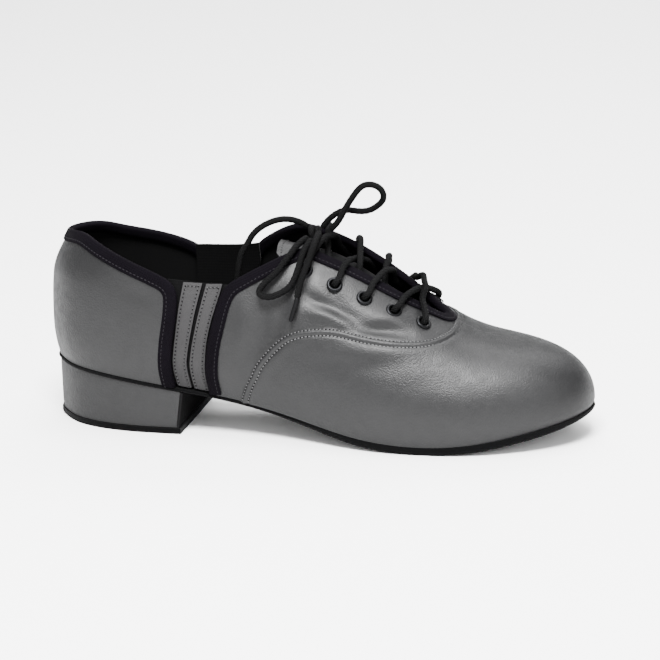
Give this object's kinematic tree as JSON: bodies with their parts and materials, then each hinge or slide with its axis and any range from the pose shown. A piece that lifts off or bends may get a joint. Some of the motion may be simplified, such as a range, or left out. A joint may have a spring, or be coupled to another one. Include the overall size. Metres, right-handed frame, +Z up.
{
  "type": "ballroom dance shoe",
  "caption": "Low-heeled lace-up ballroom shoe for the right foot: hollow grey leather upper with black elastic sides, suede sole, stacked heel and a tied lace.",
  "frame": {"origin": "bottom centre of the shoe's box, on the floor plane, the loose lace ends left out", "axes": "+X towards the toe, +Y towards the inner (medial) side, +Z up; the lace's loose ends and loops are cords"},
  "size_m": [0.2852, 0.0957, 0.1274],
  "materials": {
    "satin_leather": "grey satin leather with a soft pearl gloss",
    "strip_leather": "light grey leather, matt",
    "tongue_leather": "grey satin leather over a black lining",
    "binding_cloth": "fine black woven tape",
    "elastic": "black ribbed elastic",
    "lace_cord": "round black braid",
    "insole_cloth": "black brushed cloth",
    "sole_suede": "black suede",
    "heel_plastic": "black satin",
    "eyelet_metal": "dark gunmetal"
  },
  "bodies": {
    "root": {"upper": "satin_leather", "rear_binding": "binding_cloth", "front_binding": "binding_cloth", "gore_lateral": "elastic", "gore_medial": "elastic", "strip_lateral_1": "strip_leather", "strip_lateral_2": "strip_leather", "strip_medial_1": "strip_leather", "strip_medial_2": "strip_leather", "outsole": "sole_suede", "insole": "insole_cloth", "heel_block": "satin_leather", "heel_breast": "heel_plastic", "heel_lift": "sole_suede", "tongue": "tongue_leather", "lace_crossings": "lace_cord", "lace_knot": "lace_cord", "lace_loop_up": "lace_cord", "lace_loop_down": "lace_cord", "lace_end_in": "lace_cord", "lace_end_out": "lace_cord", "eyelet_lateral_1": "eyelet_metal", "eyelet_lateral_2": "eyelet_metal", "eyelet_lateral_3": "eyelet_metal", "eyelet_lateral_4": "eyelet_metal", "eyelet_lateral_5": "eyelet_metal", "eyelet_medial_1": "eyelet_metal", "eyelet_medial_2": "eyelet_metal", "eyelet_medial_3": "eyelet_metal", "eyelet_medial_4": "eyelet_metal", "eyelet_medial_5": "eyelet_metal"}
  },
  "joints": []
}
